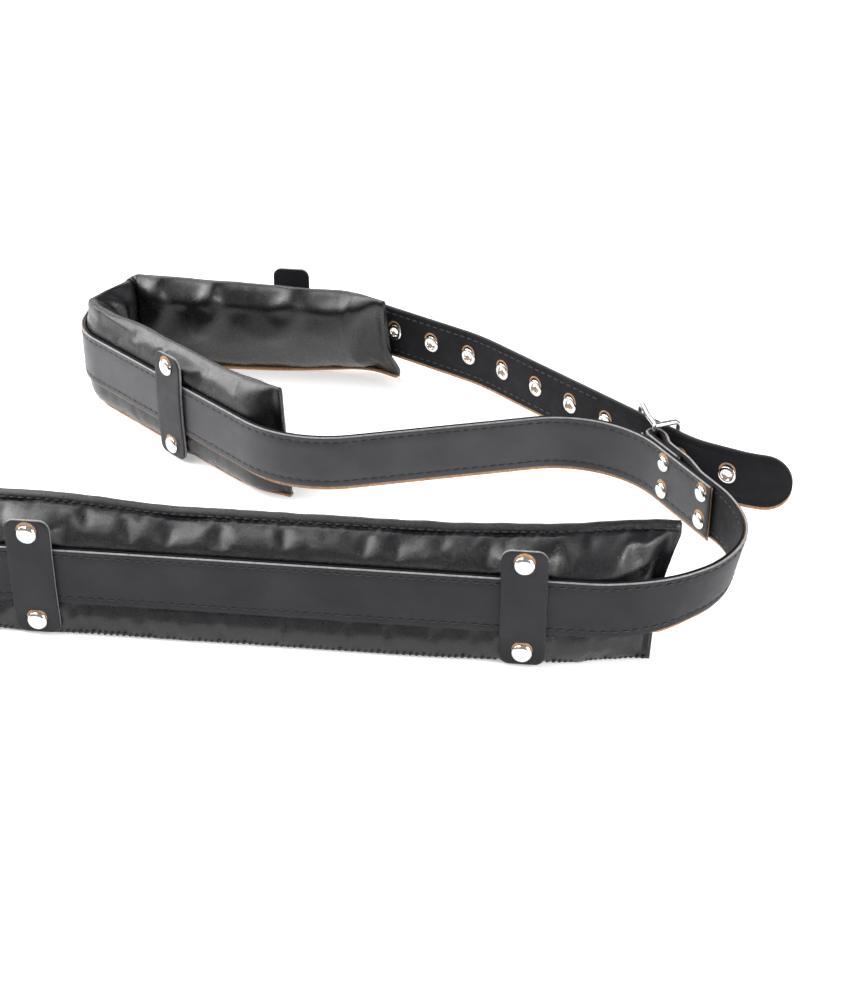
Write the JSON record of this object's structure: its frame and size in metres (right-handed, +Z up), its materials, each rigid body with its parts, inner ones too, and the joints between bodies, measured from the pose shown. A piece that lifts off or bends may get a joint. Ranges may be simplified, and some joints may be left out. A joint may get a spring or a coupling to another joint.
{
  "type": "padded leather strap with buckled padded cuff",
  "caption": "Leather strap on its edge: a straight padded sling section that turns back to a padded cuff loop closed by a pin buckle on an eyelet strap.",
  "frame": {"origin": "centre of the footprint, on the surface that the straps and pads stand on", "axes": "+X along the sling strap towards its turn, +Y from the front pad towards the cuff, +Z up across the straps' width"},
  "size_m": [0.4844, 0.3058, 0.066],
  "materials": {
    "strap_leather": "satin black leather with stitched edges",
    "strap_lining": "matt black leather with a tan cut edge",
    "pad_leather": "soft, slightly glossy black leather",
    "pad_foam": "open-cell foam inside the pads",
    "nickel": "polished nickel plate"
  },
  "bodies": {
    "strap_loop": {"sling_strap_face": "strap_leather", "sling_strap_lining": "strap_lining", "cuff_strap_face": "strap_leather", "cuff_strap_lining": "strap_lining", "strap_eyelets": "nickel", "junction_rivet_caps": "nickel", "junction_rivet_posts": "nickel", "cuff_pad_cover": "pad_leather", "cuff_pad_foam": "pad_foam", "cuff_keeper_front": "strap_leather", "cuff_keeper_back": "strap_leather", "cuff_keeper_rivet_caps": "nickel", "cuff_keeper_rivet_posts": "nickel"},
    "front_pad": {"front_pad_cover": "pad_leather", "front_pad_foam": "pad_foam", "front_pad_hem": "pad_leather", "front_keeper_left": "strap_leather", "front_keeper_right": "strap_leather", "front_keeper_rivet_caps": "nickel", "front_keeper_rivet_posts": "nickel"},
    "buckle_frame": {"buckle_frame": "nickel"},
    "buckle_prong": {"buckle_prong": "nickel"}
  },
  "joints": [
    {"name": "front_pad_slide", "type": "slide", "parent": "strap_loop", "child": "front_pad", "axis": [1, 0, 0], "range_m": [-0.03, 0]},
    {"name": "buckle_swing", "type": "hinge", "parent": "strap_loop", "child": "buckle_frame", "pos_m": [0.17031, 0.00088, 0.033], "axis": [0, 0, 1], "range_deg": [-2, 2]},
    {"name": "prong_swing", "type": "hinge", "parent": "buckle_frame", "child": "buckle_prong", "pos_m": [0.17031, 0.00088, 0.033], "axis": [0, 0, 1], "range_deg": [-3, 0]}
  ]
}
